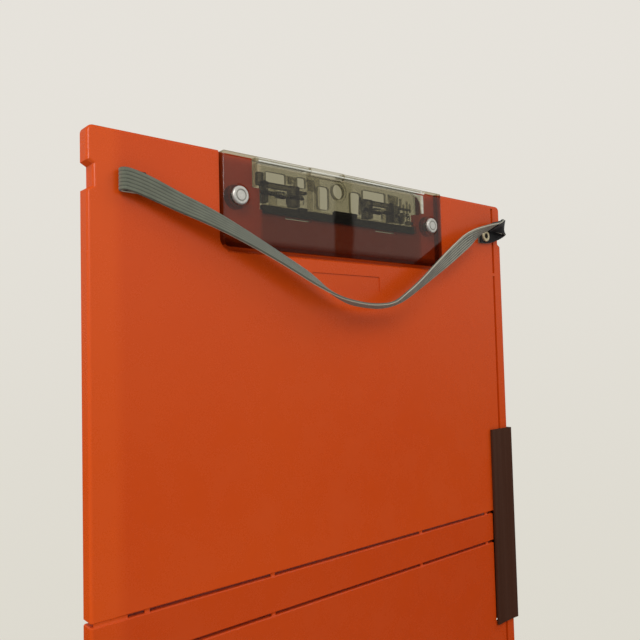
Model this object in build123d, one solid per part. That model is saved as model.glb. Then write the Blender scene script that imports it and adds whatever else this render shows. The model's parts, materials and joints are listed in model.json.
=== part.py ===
from build123d import *
import math
import os

# A clipboard that folds in half about a narrow spine. Millimetres.
# X runs to the right seen from the front, Z up. Y = 0 is the wall that it hangs on,
# and the front faces -Y. The origin is the middle of the hanging hole, at the wall.

# ---- board ----
board_width = 235.0
board_thickness = 6.0
panel_height = 165.7        # outer edge of a panel to its fold line
spine_pitch = 15.2          # one fold line to the other
slit_width = 1.2            # open gap at each fold line
web_thickness = 0.6         # bridges across the slit, flush with the front
corner_radius = 2.5
edge_round = 1.2            # front outer edges
slit_round = 0.4            # front edges at the slits
skin_thickness = 2.4        # front wall over the cored back
border_width = 4.0          # solid margin round the cored back
back_rib = 1.6
pocket_columns = 7
pocket_rows = 4
pocket_round = 1.5
solid_head = 48.0           # uncored height under the clip and at the foot
notch_drop = 12.4           # strap notch, from the outer edge of its panel
notch_length = 9.8
notch_depth = 2.1
notch_slope = 1.2           # run of the notch's slanted ends

# ---- rail and edge lock ----
rail_groove_inset = 7.3     # groove's middle, from the right edge
rail_groove_width = 1.7
rail_groove_depth = 2.2
rail_groove_end = 1.8       # groove stops this short of the outer edges
groove_bridge_drop = 37.6   # short bridge left across the groove
groove_bridge = 1.6
rail_back_width = 19.5      # thinned back of the right edge
rail_back_step = 1.6
lock_length = 102.0
lock_wall = 1.35
lock_clearance = 0.25       # between lock and rail, all round
lock_front_width = 17.3
lock_back_width = 14.5
lock_rib_width = 1.1
lock_dish = 0.45            # hollow of its front face
lock_round = 0.35
lock_relief = 0.5           # room round the parked lock for the fold

# ---- hanging hole and clip ----
hole_drop = 6.5             # below the top edge
hole_diameter = 7.0
hole_collar = 0.6           # stands in front of the back plate
hole_collar_wall = 1.2
clip_width = 130.0
clip_height = 37.3
clip_corner = 3.5
clip_top_corner = 1.0
recess_gap = 0.9            # beside the cover
recess_foot_gap = 1.3       # under its lip
recess_depth = 2.6
recess_chamfer = 0.8        # lead-in for the paper
cover_thickness = 1.3
cover_proud = 1.5           # cover's front over the board's front
cover_round = 0.6
cover_bead_height = 2.3     # rounded rim along the top
cover_bead_proud = 0.5
lip_height = 1.7            # thinner foot of the cover
lip_step = 0.35
skirt_gap = 0.1
boss_diameter = 10.0
window_inset = 14.5         # window's end, from the cover's side
window_shift = 1.9          # window and what is in it, to the right of the middle
window_step_drop = 11.7
window_step = 3.5           # lower part is narrower at each end
window_height = 20.4
sight_slot_length = 14.5
sight_slot_height = 1.0
sight_slot_inset = 20.3     # slot's middle, from the window's lower end
sight_slot_gap = 0.1        # below the rocker's lip
plate_inset = 2.0           # back plate's end, from the cover's side
plate_height = 28.0
plate_thickness = 1.4
plate_gap = 0.3
tray_gap = 0.3              # window's edge to the back plate's rim
tray_wall = 1.0
tray_reach = 3.9            # rim stands in front of the back plate
tray_corner = 2.0
slot_width = 6.6            # upright slots beside the hanging hole
slot_height = 10.4
slot_gap_left = 2.0         # hole to slot
slot_gap_right = 4.2
slot_drop = 5.3
light_slot_height = 4.6     # low wide slots above the brackets
light_slot_drop = 3.2
light_slot_left = 10.5      # widths
light_slot_right = 15.2
light_slot_inset = 3.8      # left slot, from its bracket's outer end
light_slot_gap = 1.6        # from a bracket's inner end
light_slot_share = 0.36     # small slot's share of the space between bracket and upright slot

# ---- rocker ----
axle_diameter = 1.6
axle_fit = 0.08             # radial, in every bore
axle_drop = 13.0
axle_depth = 3.1            # in front of the wall
axle_overhang = 0.7         # past its bracket, at both ends
rocker_thickness = 1.0
rocker_front = 1.1          # clear space between rocker and cover
thumb_width = 18.6
thumb_start_gap = 4.4       # from the left bracket's inner end
thumb_height = 3.2
thumb_gap = 0.4
arm_width = 2.6
arm_spacing = 4.0           # both arms are at the thumb bar's left end
beam_end_gap = 0.5          # beam's end to the window's lower end
beam_drop = 17.9
beam_foot_drop = 21.7
beam_round = 0.6
lug_width = 3.0
lug_gap = 1.2               # lug to the thin post
lug_radius = 1.5
grip_gap = 0.1              # pad to board floor with no paper
grip_deep = 2.1             # bar's depth behind the rocker, in the window
grip_top_drop = 18.2
grip_window_gap = 0.35
block_width = 13.4
block_offset = 0.5          # block's middle, to the right of the window's
block_top_drop = 16.2

# ---- brackets and springs ----
bracket_width = 18.9
bracket_end_gap = 1.1       # left bracket to the window's lower end
bracket_far_gap = 15.8      # right bracket to the window's lower end
post_thin = 2.4             # post at a bracket's outer end
post_wide = 4.4             # post at its inner end
post_top_drop = 8.4
post_foot_drop = 17.2
post_reach = 1.6            # post in front of the axle's middle
post_round = 0.6
tie_height = 2.0
tie_depth = 2.0
wire_diameter = 0.5
coil_diameter = 3.0
coil_turns = 9
coil_pitch = 0.62
coil_gap = 1.6              # coil to the wide post
leg_gap = 0.3

# ---- rivets ----
rivet_inset = 7.8           # from the cover's side
rivet_drop = 16.9
rivet_head = 7.4
rivet_height = 1.2          # of its head
rivet_seat = 0.5            # head is sunk this far into the cover
rivet_seat_gap = 0.8
rivet_shank = 4.0
rivet_fit = 0.1
rivet_washer = 7.2
rivet_washer_thickness = 0.6
rivet_round = 0.6
rivet_ring = 4.8            # ring cut into the head
rivet_ring_width = 0.5
rivet_ring_depth = 0.2

# ---- strap and eyelets ----
strap_width = 8.0
strap_thickness = 1.15
strap_seat_gap = 0.05
strap_fold = 3.125          # between the two layers at the left end
strap_sag = 41.0            # lowest place, under the eyelets
lining_thickness = 0.5
lining_margin = 0.2         # strap's edge to lining's edge
eyelet_inset = 16.0         # from the board's side
eyelet_drop = 18.0
eyelet_flange = 6.2
eyelet_flange_thickness = 0.7
eyelet_barrel = 4.0
eyelet_bore = 3.0
eyelet_fit = 0.1
eyelet_counterbore = 8.0
eyelet_back_depth = 1.6

# ---- name field ----
field_width = 41.0
field_height = 7.0
field_drop = 44.6
field_depth = 0.35
field_round = 0.8

# ---- fold bridges ----
bridge_width = 1.8
bridge_x = (-97.5, -44.0, 44.0, 96.0)
bridge_wide = 11.7          # long bridge at the left end

# ---- worked-out places ----
half_width = board_width / 2
front_y = -board_thickness
top_z = hole_drop
upper_axis_z = top_z - panel_height
lower_axis_z = upper_axis_z - spine_pitch
foot_z = lower_axis_z - panel_height
spine_middle_z = (upper_axis_z + lower_axis_z) / 2
groove_x = half_width - rail_groove_inset
rail_back_x = half_width - rail_back_width
rail_back_y = -rail_back_step
lock_inner_x = groove_x - lock_front_width / 2
lock_outer_x = half_width + lock_clearance + lock_wall
lock_foot_z = spine_middle_z - lock_length / 2
relief_x = lock_inner_x - lock_relief
relief_z = lock_foot_z - lock_relief
floor_y = front_y + recess_depth
cover_front_y = front_y - cover_proud
cover_back_y = cover_front_y + cover_thickness
plate_front_y = -plate_thickness
rocker_front_y = cover_back_y + rocker_front
rocker_back_y = rocker_front_y + rocker_thickness
axle_y = -axle_depth
axle_z = top_z - axle_drop
cover_foot_z = top_z - clip_height
eyelet_z = top_z - eyelet_drop
eyelet_x = half_width - eyelet_inset
window_half = clip_width / 2 - window_inset
window_left, window_right = window_shift - window_half, window_shift + window_half
lower_left, lower_right = window_left + window_step, window_right - window_step
rivet_x = clip_width / 2 - rivet_inset
plate_half = clip_width / 2 - plate_inset
beam_left, beam_right = lower_left + beam_end_gap, lower_right - beam_end_gap
bracket_left_end = lower_left + bracket_end_gap
bracket_right_end = lower_right - bracket_far_gap
thumb_left = bracket_left_end + bracket_width + thumb_start_gap
thumb_right = thumb_left + thumb_width
rivet_front_y = cover_front_y + rivet_seat - rivet_height
past = 5.0                  # how far a cut runs on outside the solid
overlap = 0.2               # how far a fused piece reaches into its neighbour
tiny = 0.01


def block(x0, x1, y0, y1, z0, z1):
    size = (abs(x1 - x0), abs(y1 - y0), abs(z1 - z0))
    return Pos((x0 + x1) / 2, (y0 + y1) / 2, (z0 + z1) / 2) * Box(*size)


def disc(x, z, diameter, y0, y1):
    """A cylinder along Y between two depths."""
    turned = Rot(90, 0, 0) * Cylinder(diameter / 2, abs(y1 - y0))
    return Pos(x, (y0 + y1) / 2, z) * turned


def rod(x0, x1, y, z, diameter):
    """A cylinder along X between two places."""
    turned = Rot(0, 90, 0) * Cylinder(diameter / 2, abs(x1 - x0))
    return Pos((x0 + x1) / 2, y, z) * turned


def slab(points, y0, y1):
    """An outline in the XZ plane, made solid between two depths."""
    outline = make_face(Polyline(*[(x, y0, z) for x, z in points], close=True))
    return extrude(outline, amount=abs(y1 - y0), dir=(0, math.copysign(1, y1 - y0), 0))


def upright_edges(shape, xs=None, z_from=None, z_to=None):
    """Edges along Y whose place lies at the given X values and between two heights."""
    found = shape.edges().filter_by(Axis.Y)
    if xs is not None:
        found = found.filter_by(lambda e: any(abs(e.center().X - x) < tiny for x in xs))
    if z_from is not None:
        found = found.filter_by(lambda e: z_from - tiny <= e.center().Z <= z_to + tiny)
    return found


def front_edges(shape, y):
    """Edges that lie wholly in the plane at this depth."""
    box = lambda e: e.bounding_box()
    return shape.edges().filter_by(lambda e: abs(box(e).min.Y - y) < tiny and abs(box(e).max.Y - y) < tiny)


def write(name, shape):
    shape.label = name
    export_step(shape, f"parts/{name}.step")


# ---------------------------------------------------------------- board

def notches(outer_z, inward):
    """The strap seats in both sides; inward is -1 under a top edge and 1 over a foot."""
    start = outer_z + inward * notch_drop
    end = start + inward * notch_length
    cuts = []
    for side in (-1, 1):
        edge, deep = side * (half_width + 1), side * (half_width - notch_depth)
        skew = inward * notch_slope * (notch_depth + 1) / notch_depth
        points = [(edge, start - skew + inward * notch_slope), (deep, start + inward * notch_slope)]
        points += [(deep, end - inward * notch_slope), (edge, end + skew - inward * notch_slope)]
        cuts.append(slab(points, front_y - 1, 1))
    return cuts


def pockets(low_z, high_z):
    """The cored back between two heights, with ribs left standing."""
    left, right = -half_width + border_width, rail_back_x - back_rib
    across = (right - left - (pocket_columns - 1) * back_rib) / pocket_columns
    up = (high_z - low_z - (pocket_rows - 1) * back_rib) / pocket_rows
    cell = block(0, across, front_y + skin_thickness, 1, 0, up)
    cell = fillet(cell.edges().filter_by(Axis.Y), pocket_round)
    places = [
        (left + i * (across + back_rib), low_z + j * (up + back_rib))
        for i in range(pocket_columns)
        for j in range(pocket_rows)
    ]
    return [Pos(x, 0, z) * cell for x, z in places]


def panel(slit_z, outer_z):
    """One half of the board: its slit end is square, its outer end has round corners."""
    inward = -1 if outer_z > slit_z else 1
    shape = block(-half_width, half_width, front_y, 0, slit_z, outer_z)
    corners = upright_edges(shape, z_from=outer_z, z_to=outer_z)
    shape = fillet(corners, corner_radius)
    shape -= notches(outer_z, inward)
    outer = [e for e in front_edges(shape, front_y) if abs(e.center().Z - slit_z) > tiny]
    shape = fillet(outer, edge_round)
    slit_edge = [e for e in front_edges(shape, front_y) if abs(e.center().Z - slit_z) < tiny]
    shape = chamfer(slit_edge, slit_round)
    shape -= block(rail_back_x, half_width + 1, rail_back_y, 1, slit_z - 1, outer_z + 1)
    low, high = sorted((slit_z - inward * border_width, outer_z + inward * solid_head))
    shape -= pockets(low, high)
    return shape


def groove(z0, z1):
    return block(
        groove_x - rail_groove_width / 2, groove_x + rail_groove_width / 2,
        front_y - past, front_y + rail_groove_depth, z0, z1,
    )


def relief(z0, z1):
    """Clears the parked lock, so that the fold can be moved with the lock in its place."""
    return block(relief_x, lock_outer_x + 1, front_y - 2, 1, z0, z1)


def clip_recess():
    wide = clip_width / 2 + recess_gap
    foot = cover_foot_z - recess_foot_gap
    cut = block(-wide, wide, front_y - 2, floor_y, foot, top_z + past)
    cut = fillet(upright_edges(cut, z_from=foot, z_to=foot), clip_corner + recess_gap)
    lead = slab(
        [(-wide + clip_corner, foot + tiny), (wide - clip_corner, foot + tiny),
         (wide - clip_corner, foot - recess_chamfer), (-wide + clip_corner, foot - recess_chamfer)],
        front_y - recess_chamfer, front_y + recess_chamfer,
    )
    tip = lead.edges().filter_by(Axis.X).filter_by(
        lambda e: e.center().Y > front_y and e.center().Z < foot - recess_chamfer / 2)
    return [cut, chamfer(tip, recess_chamfer * 0.98)]


def window():
    upper = block(window_left, window_right, front_y - 2, 1, top_z - window_step_drop, top_z + past)
    foot, step = top_z - window_height, top_z - window_step_drop
    lower = block(lower_left, lower_right, front_y - 2, 1, foot, step + 1)
    return [upper, lower]


def sight_slots():
    high = top_z - beam_foot_drop - sight_slot_gap
    half = sight_slot_length / 2
    return [
        block(x - half, x + half, front_y, 1, high - sight_slot_height, high)
        for x in (lower_left + sight_slot_inset, lower_right - sight_slot_inset)
    ]


def plate_rebate():
    half = plate_half + plate_gap
    return block(-half, half, plate_front_y, 1, top_z - plate_height - plate_gap, top_z + past)


def name_field():
    high = top_z - field_drop
    half = field_width / 2
    cut = block(-half, half, front_y - 1, front_y + field_depth, high - field_height, high)
    return fillet(cut.edges().filter_by(Axis.Y), field_round)


def eyelet_holes():
    cuts = []
    for side in (-1, 1):
        x = side * eyelet_x
        cuts.append(disc(x, eyelet_z, eyelet_barrel + 2 * eyelet_fit, front_y - 1, 1))
        cuts.append(disc(x, eyelet_z, eyelet_counterbore, -eyelet_back_depth, 1))
    return cuts


def rivet_holes(y0, y1):
    return [
        disc(side * rivet_x, top_z - rivet_drop, rivet_shank + 2 * rivet_fit, y0, y1)
        for side in (-1, 1)
    ]


def upper_board():
    slit_z = upper_axis_z + slit_width / 2
    shape = panel(slit_z, top_z)
    shape -= clip_recess()
    shape -= window()
    shape -= sight_slots()
    shape -= plate_rebate()
    shape -= name_field()
    shape -= eyelet_holes()
    shape -= rivet_holes(front_y, 0)
    bridge_z = top_z - groove_bridge_drop
    shape -= groove(slit_z - past, bridge_z - groove_bridge)
    shape -= groove(bridge_z, top_z - rail_groove_end)
    return shape


def lower_board():
    slit_z = lower_axis_z - slit_width / 2
    shape = panel(slit_z, foot_z)
    shape -= groove(foot_z + rail_groove_end, slit_z + 1)
    shape -= relief(relief_z, slit_z + 1)
    return shape


def spine_strip():
    low, high = lower_axis_z + slit_width / 2, upper_axis_z - slit_width / 2
    shape = block(-half_width, relief_x, front_y, 0, low, high)
    left = shape.edges().filter_by(Axis.Z).filter_by(
        lambda e: e.center().X < 0 and e.center().Y < front_y / 2)
    shape = fillet(left, edge_round)
    long_edges = [e for e in front_edges(shape, front_y) if e.length > board_width / 2]
    shape = chamfer(long_edges, slit_round)
    reach = front_y + skin_thickness
    inner = (high - low) / 2 - back_rib
    left, right = -half_width + border_width, relief_x - border_width
    across = (right - left - (pocket_columns - 1) * back_rib) / pocket_columns
    for i in range(pocket_columns):
        x = left + i * (across + back_rib)
        cell = block(x, x + across, reach, 1, spine_middle_z - inner, spine_middle_z + inner)
        shape -= fillet(cell.edges().filter_by(Axis.Y), pocket_round)
    return shape


def fold_webs(axis_z):
    """The short bridges across one slit; they bend when it folds."""
    low, high = axis_z - slit_width / 2, axis_z + slit_width / 2
    back = front_y + web_thickness + slit_round
    wide_start = -half_width + edge_round
    spans = [(wide_start, wide_start + bridge_wide)]
    spans += [(x - bridge_width / 2, x + bridge_width / 2) for x in bridge_x]
    return Compound([block(a, b, front_y + slit_round, back, low, high) for a, b in spans])


# ---------------------------------------------------------------- edge lock

def edge_lock():
    front_in = front_y - lock_clearance
    front_out = front_in - lock_wall
    back_in = rail_back_y + lock_clearance
    back_out = back_in + lock_wall
    inner_wall = lock_outer_x - lock_wall
    back_x = lock_outer_x - lock_back_width
    rib = lock_rib_width / 2
    rib_y = front_y + rail_groove_depth - lock_clearance
    middle = (lock_inner_x + lock_outer_x) / 2
    lines = [
        ThreePointArc((lock_inner_x, front_out), (middle, front_out + lock_dish), (lock_outer_x, front_out)),
        Polyline(
            (lock_outer_x, front_out), (lock_outer_x, back_out), (back_x, back_out), (back_x, back_in),
            (inner_wall, back_in), (inner_wall, front_in),
            (groove_x + rib, front_in), (groove_x + rib, rib_y),
            (groove_x - rib, rib_y), (groove_x - rib, front_in),
            (lock_inner_x, front_in), (lock_inner_x, front_out),
        ),
    ]
    section = make_face(Pos(0, 0, lock_foot_z) * Wire([*lines[0].edges(), *lines[1].edges()]))
    shape = extrude(section, amount=lock_length, dir=(0, 0, 1))
    on_front = lambda c: c.Y < front_in - tiny
    on_side = lambda c: c.X > inner_wall + tiny and c.Y > front_in
    long_edges = shape.edges().filter_by(Axis.Z).filter_by(
        lambda e: on_front(e.center()) or on_side(e.center()))
    return fillet(long_edges, lock_round)


# ---------------------------------------------------------------- clip

def clip_cover():
    half = clip_width / 2
    plate = block(-half, half, cover_front_y, cover_back_y, cover_foot_z, top_z)
    skirts = [
        block(side * half, side * (half - cover_thickness), cover_front_y, floor_y - skirt_gap,
              cover_foot_z, top_z)
        for side in (-1, 1)
    ]
    shape = plate + skirts
    for z, size in ((cover_foot_z, clip_corner), (top_z, clip_top_corner)):
        shape = fillet(upright_edges(shape, xs=(-half, half), z_from=z, z_to=z), size)
    shape = fillet(front_edges(shape, cover_front_y), cover_round)
    shape -= block(-half - 1, half + 1, cover_front_y - 1, cover_front_y + lip_step,
                   cover_foot_z - 1, cover_foot_z + lip_height)
    bead = block(-half + clip_top_corner, half - clip_top_corner, cover_front_y - cover_bead_proud,
                 cover_back_y, top_z - cover_bead_height, top_z)
    bead = fillet(bead.edges().filter_by(Axis.X).filter_by(lambda e: e.center().Y < cover_front_y),
                  cover_bead_height / 2 - tiny)
    shape += bead
    for side in (-1, 1):
        boss = disc(side * rivet_x, top_z - rivet_drop, boss_diameter, cover_back_y - overlap, floor_y)
        shape += boss & block(-half, half, cover_back_y - overlap, floor_y, cover_foot_z, top_z)
        shape -= disc(side * rivet_x, top_z - rivet_drop, rivet_head + 2 * rivet_seat_gap,
                      cover_front_y - 1, cover_front_y + rivet_seat)
    shape -= rivet_holes(cover_front_y - 1, floor_y + 1)
    shape -= block(thumb_left - thumb_gap, thumb_right + thumb_gap, cover_front_y - 2, cover_back_y + 1,
                   top_z - thumb_height - thumb_gap, top_z + 1)
    return shape


def along_bracket(side, distance):
    """X at a distance from a bracket's outer end, towards its inner end."""
    outer = bracket_left_end if side < 0 else bracket_right_end
    return outer - side * distance


def tray_rim():
    """The back plate's wall round the window's upper part, open where the lever passes."""
    left, right, foot = window_left + tray_gap, window_right - tray_gap, top_z - window_step_drop + tray_gap
    front, back = plate_front_y - tray_reach, plate_front_y + overlap
    rim = block(left, right, front, back, foot, top_z)
    inner = block(left + tray_wall, right - tray_wall, front - 1, back + 1, foot - past, top_z - tray_wall)
    rim -= fillet(upright_edges(inner, z_from=top_z - tray_wall, z_to=top_z - tray_wall), tray_corner)
    rim -= block(thumb_left - thumb_gap, thumb_right + thumb_gap, front - 1, back + 1, foot, top_z + 1)
    return rim


def plate_slots():
    """Upright slots beside the hole, and low wide ones above the brackets."""
    left_end, right_start = -hole_diameter / 2 - slot_gap_left, hole_diameter / 2 + slot_gap_right
    upright = [(left_end - slot_width, left_end), (right_start, right_start + slot_width)]
    between = upright[0][0] - along_bracket(-1, bracket_width)
    starts = [
        (along_bracket(-1, light_slot_inset), light_slot_left),
        (along_bracket(-1, bracket_width + light_slot_gap), light_slot_share * between),
        (along_bracket(1, bracket_width - light_slot_gap), light_slot_right),
    ]
    cuts = []
    for x0, x1 in upright:
        cut = block(x0, x1, plate_front_y - 1, 1, top_z - slot_drop - slot_height, top_z - slot_drop)
        cuts.append(fillet(cut.edges().filter_by(Axis.Y), pocket_round))
    for x0, width in starts:
        cut = block(x0, x0 + width, plate_front_y - 1, 1,
                    top_z - light_slot_drop - light_slot_height, top_z - light_slot_drop)
        cuts.append(fillet(cut.edges().filter_by(Axis.Y), pocket_round / 2))
    return cuts


def clip_back_plate():
    half = plate_half
    shape = block(-half, half, plate_front_y, 0, top_z - plate_height, top_z)
    shape = fillet(shape.edges().filter_by(Axis.Y), clip_top_corner)
    shape += tray_rim()
    shape -= plate_slots()
    collar_y = plate_front_y - hole_collar
    shape += disc(0, 0, hole_diameter + 2 * hole_collar_wall, collar_y, plate_front_y + overlap)
    shape -= disc(0, 0, hole_diameter, collar_y - 1, 1)
    for side in (-1, 1):
        shape -= disc(side * rivet_x, top_z - rivet_drop, rivet_washer + 2 * rivet_fit,
                      -rivet_washer_thickness, 1)
    shape -= rivet_holes(plate_front_y - 1, 1)
    shape -= sight_slots()
    return shape


def clamp_rocker():
    foot = top_z - beam_foot_drop
    beam_top = top_z - beam_drop
    beam = block(beam_left, beam_right, rocker_front_y, rocker_back_y, foot, beam_top)
    shape = fillet(upright_edges(beam, z_from=foot, z_to=beam_top), beam_round)
    shape += block(thumb_left, thumb_right, cover_front_y, rocker_back_y, top_z - thumb_height, top_z)
    nose = block(thumb_left, thumb_right, cover_front_y - cover_bead_proud, cover_back_y,
                 top_z - cover_bead_height, top_z)
    shape += fillet(nose.edges().filter_by(Axis.X).filter_by(lambda e: e.center().Y < cover_front_y),
                    cover_bead_height / 2 - tiny)
    for x in (thumb_left, thumb_left + arm_spacing):
        shape += block(x, x + arm_width, rocker_front_y, rocker_back_y,
                       beam_top - overlap, top_z - thumb_height + overlap)
    for side in (-1, 1):
        x0, x1 = (along_bracket(side, post_thin + lug_gap + w) for w in (0, lug_width))
        shape += block(x0, x1, rocker_front_y, axle_y, beam_top - overlap, axle_z + lug_radius)
        shape += rod(x0, x1, axle_y, axle_z, 2 * lug_radius)
    return shape - rod(-half_width, half_width, axle_y, axle_z, axle_diameter + 2 * axle_fit)


def grip_bar():
    window_foot = top_z - window_height + grip_window_gap
    left, right = beam_left + beam_round, beam_right - beam_round
    block_x = window_shift + block_offset
    pad = block(left, right, rocker_back_y, floor_y - grip_gap, top_z - beam_foot_drop, window_foot + overlap)
    bar = block(left, right, rocker_back_y, rocker_back_y + grip_deep, window_foot, top_z - grip_top_drop)
    middle = block(block_x - block_width / 2, block_x + block_width / 2,
                   rocker_back_y, rocker_back_y + grip_deep, window_foot, top_z - block_top_drop)
    return pad + bar + middle


def axle_bracket(side):
    """Two posts on the back plate, tied above the axle, with a spring between them."""
    front, back = axle_y - post_reach, plate_front_y
    top, foot = top_z - post_top_drop, top_z - post_foot_drop
    at = lambda distance: along_bracket(side, distance)
    shape = block(at(0), at(bracket_width), back - tie_depth, back, top - tie_height, top)
    shape += block(at(0), at(post_thin), front, back, foot, top)
    shape += block(at(bracket_width - post_wide), at(bracket_width), front, back, foot, top)
    corners = shape.edges().filter_by(Axis.X).filter_by(lambda e: e.center().Y < front + tiny)
    shape = fillet(corners, post_round)
    shape -= rod(-half_width, half_width, axle_y, axle_z, axle_diameter + 2 * axle_fit)
    return shape


def rocker_axle(side):
    ends = (along_bracket(side, -axle_overhang), along_bracket(side, bracket_width + axle_overhang))
    return rod(*ends, axle_y, axle_z, axle_diameter)


def spring(side):
    """A wound sleeve of close coils round the axle, with one leg up and one down."""
    core, outer = coil_diameter / 2 - wire_diameter, coil_diameter / 2
    length = coil_pitch * coil_turns
    middle = (core + outer) / 2
    ridges = [(0, core), (0, middle)]
    for i in range(coil_turns):
        ridges += [((i + 0.5) * coil_pitch, outer), ((i + 1) * coil_pitch, middle)]
    profile = make_face(Polyline(*ridges, (length, core), close=True))
    sleeve = revolve(profile, Axis.X, 360)
    ends = [along_bracket(side, bracket_width - post_wide - coil_gap - d) for d in (0, length)]
    start = min(ends)
    coil = Pos(start, axle_y, axle_z) * sleeve
    leg_top = top_z - post_top_drop - tie_height - leg_gap
    leg = wire_diameter * 0.4
    x_up, x_down = start + coil_pitch, start + length - coil_pitch
    up = Pos(x_up, axle_y + middle, (axle_z + leg_top) / 2) * Cylinder(leg, leg_top - axle_z)
    leg_foot = top_z - post_foot_drop + leg_gap
    down = Pos(x_down, axle_y - middle, (axle_z + leg_foot) / 2) * Cylinder(leg, axle_z - leg_foot)
    return coil + up + down


def rivet(side):
    x, z = side * rivet_x, top_z - rivet_drop
    base_y = cover_front_y + rivet_seat
    head = disc(x, z, rivet_head, rivet_front_y, base_y)
    head = fillet(front_edges(head, rivet_front_y), rivet_round)
    ring = disc(x, z, rivet_ring, rivet_front_y - 1, rivet_front_y + rivet_ring_depth)
    ring -= disc(x, z, rivet_ring - 2 * rivet_ring_width, rivet_front_y - 2, base_y)
    return head - ring + disc(x, z, rivet_shank, base_y - overlap, 0)


def rivet_washer_part(side):
    x, z = side * rivet_x, top_z - rivet_drop
    ring = disc(x, z, rivet_washer, -rivet_washer_thickness, 0)
    return ring - disc(x, z, rivet_shank + 2 * rivet_fit, -2, 1)


# ---------------------------------------------------------------- strap

seat_y = front_y - strap_seat_gap - strap_thickness / 2     # middle of the layer on the board
over_y = seat_y - strap_fold

# The strap's middle line. At the ends each station is an offset from the eyelet, and on
# the span it is a share of the eyelet's X, a distance in front of the board and a share
# of the sag. The last number is how far its width has turned from upright, in degrees.
left_fold = [
    (4.5, seat_y, 0, 0), (0.5, seat_y, 0, 0), (-2.9, seat_y, 0, 0), (-5.1, seat_y - 0.2, 0, 0),
    (-5.1, over_y + 0.2, 0, 0), (-2.7, over_y, 0, 0), (4.0, over_y - 0.15, -1.6, -4),
]
span = [
    (-0.847, 5.0, 0.146, -15), (-0.724, 6.0, 0.244, -25), (-0.581, 7.0, 0.388, -36),
    (-0.429, 7.7, 0.559, -43), (-0.266, 8.2, 0.746, -45), (-0.158, 8.4, 0.893, -68),
    (-0.049, 8.6, 0.976, -88), (0.054, 8.6, 1.0, -94), (0.167, 8.6, 0.990, -104),
    (0.271, 8.4, 0.893, -128), (0.374, 8.2, 0.746, -136), (0.502, 7.7, 0.546, -150),
    (0.640, 7.5, 0.332, -168), (0.773, 7.0, 0.122, -174), (0.906, 6.6, -0.034, -176),
]
right_loop = [
    (3.0, front_y - 6.6, 5.4, -178), (11.1, front_y - 5.6, 5.8, -180), (12.9, front_y - 3.2, 4.4, -180),
    (9.7, front_y - 1.1, 2.2, -180), (4.1, seat_y, 0.4, -180), (-0.5, seat_y, 0, -180),
    (-4.5, seat_y, 0, -180),
]
strap_route = [(-eyelet_x + x, y, eyelet_z + z, turn) for x, y, z, turn in left_fold]
strap_route += [
    (share * eyelet_x, front_y - stand, eyelet_z - drop * strap_sag, turn)
    for share, stand, drop, turn in span
]
strap_route += [(eyelet_x + x, y, eyelet_z + z, turn) for x, y, z, turn in right_loop]


def strap_frames():
    """Place, width direction and face direction at each station of the route."""
    points = [Vector(*p[:3]) for p in strap_route]
    frames = []
    up = Vector(0, 0, 1)
    for i, p in enumerate(points):
        before, after = points[max(i - 1, 0)], points[min(i + 1, len(points) - 1)]
        along = (after - before).normalized()
        wide = (up - along * up.dot(along)).normalized()
        face = along.cross(wide)
        turn = math.radians(strap_route[i][3])
        wide_turned = wide * math.cos(turn) + face * math.sin(turn)
        frames.append((p, wide_turned, along.cross(wide_turned)))
    return frames


def ribbon(frames, width, thickness, offset=0.0):
    """A flat band through the frames, as ruled stretches between its sections."""
    sections = []
    for p, wide, face in frames:
        middle = p + face * offset
        ring = [(1, 1), (-1, 1), (-1, -1), (1, -1)]
        corners = [middle + wide * (a * width / 2) + face * (b * thickness / 2) for a, b in ring]
        sections.append(make_face(Polyline(*corners, close=True)))
    return loft(sections, ruled=True)


def eyelet_clearance():
    return [
        disc(side * eyelet_x, eyelet_z, eyelet_barrel + 2 * eyelet_fit, front_y,
             lining_face_y - eyelet_flange_thickness)
        for side in (-1, 1)
    ]


lining_offset = (strap_thickness + lining_thickness) / 2
lining_face_y = seat_y - strap_thickness / 2 - lining_thickness


def elastic_strap():
    return ribbon(strap_frames(), strap_width, strap_thickness) - eyelet_clearance()


def lining(side):
    frames = strap_frames()
    frames = frames[:len(left_fold)] if side < 0 else frames[-len(right_loop):]
    band = ribbon(frames, strap_width - 2 * lining_margin, lining_thickness, side * lining_offset)
    return band - eyelet_clearance()


def eyelet(side):
    x = side * eyelet_x
    flange = disc(x, eyelet_z, eyelet_flange, lining_face_y - eyelet_flange_thickness, lining_face_y)
    rim = front_edges(flange, lining_face_y - eyelet_flange_thickness)
    flange = fillet(rim, eyelet_flange_thickness * 0.6)
    barrel = disc(x, eyelet_z, eyelet_barrel, lining_face_y - eyelet_flange_thickness / 2,
                  -eyelet_back_depth + eyelet_flange_thickness)
    return flange + barrel - disc(x, eyelet_z, eyelet_bore, lining_face_y - 3, 1)


def eyelet_washer_part(side):
    x = side * eyelet_x
    ring = disc(x, eyelet_z, eyelet_flange, -eyelet_back_depth, -eyelet_back_depth + eyelet_flange_thickness)
    return ring - disc(x, eyelet_z, eyelet_barrel + 2 * eyelet_fit, -eyelet_back_depth - 1, 1)


# ---------------------------------------------------------------- write

write("upper_board", upper_board())
write("spine_strip", spine_strip())
write("lower_board", lower_board())
write("upper_fold_webs", fold_webs(upper_axis_z))
write("lower_fold_webs", fold_webs(lower_axis_z))
write("edge_lock", edge_lock())
write("clip_cover", clip_cover())
write("clip_back_plate", clip_back_plate())
write("clamp_rocker", clamp_rocker())
write("grip_bar", grip_bar())
write("elastic_strap", elastic_strap())
for side, name in ((-1, "left"), (1, "right")):
    write(f"axle_bracket_{name}", axle_bracket(side))
    write(f"rocker_axle_{name}", rocker_axle(side))
    write(f"rocker_spring_{name}", spring(side))
    write(f"rivet_{name}", rivet(side))
    write(f"rivet_washer_{name}", rivet_washer_part(side))
    write(f"eyelet_{name}", eyelet(side))
    write(f"eyelet_washer_{name}", eyelet_washer_part(side))
    write(f"strap_lining_{name}", lining(side))
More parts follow.
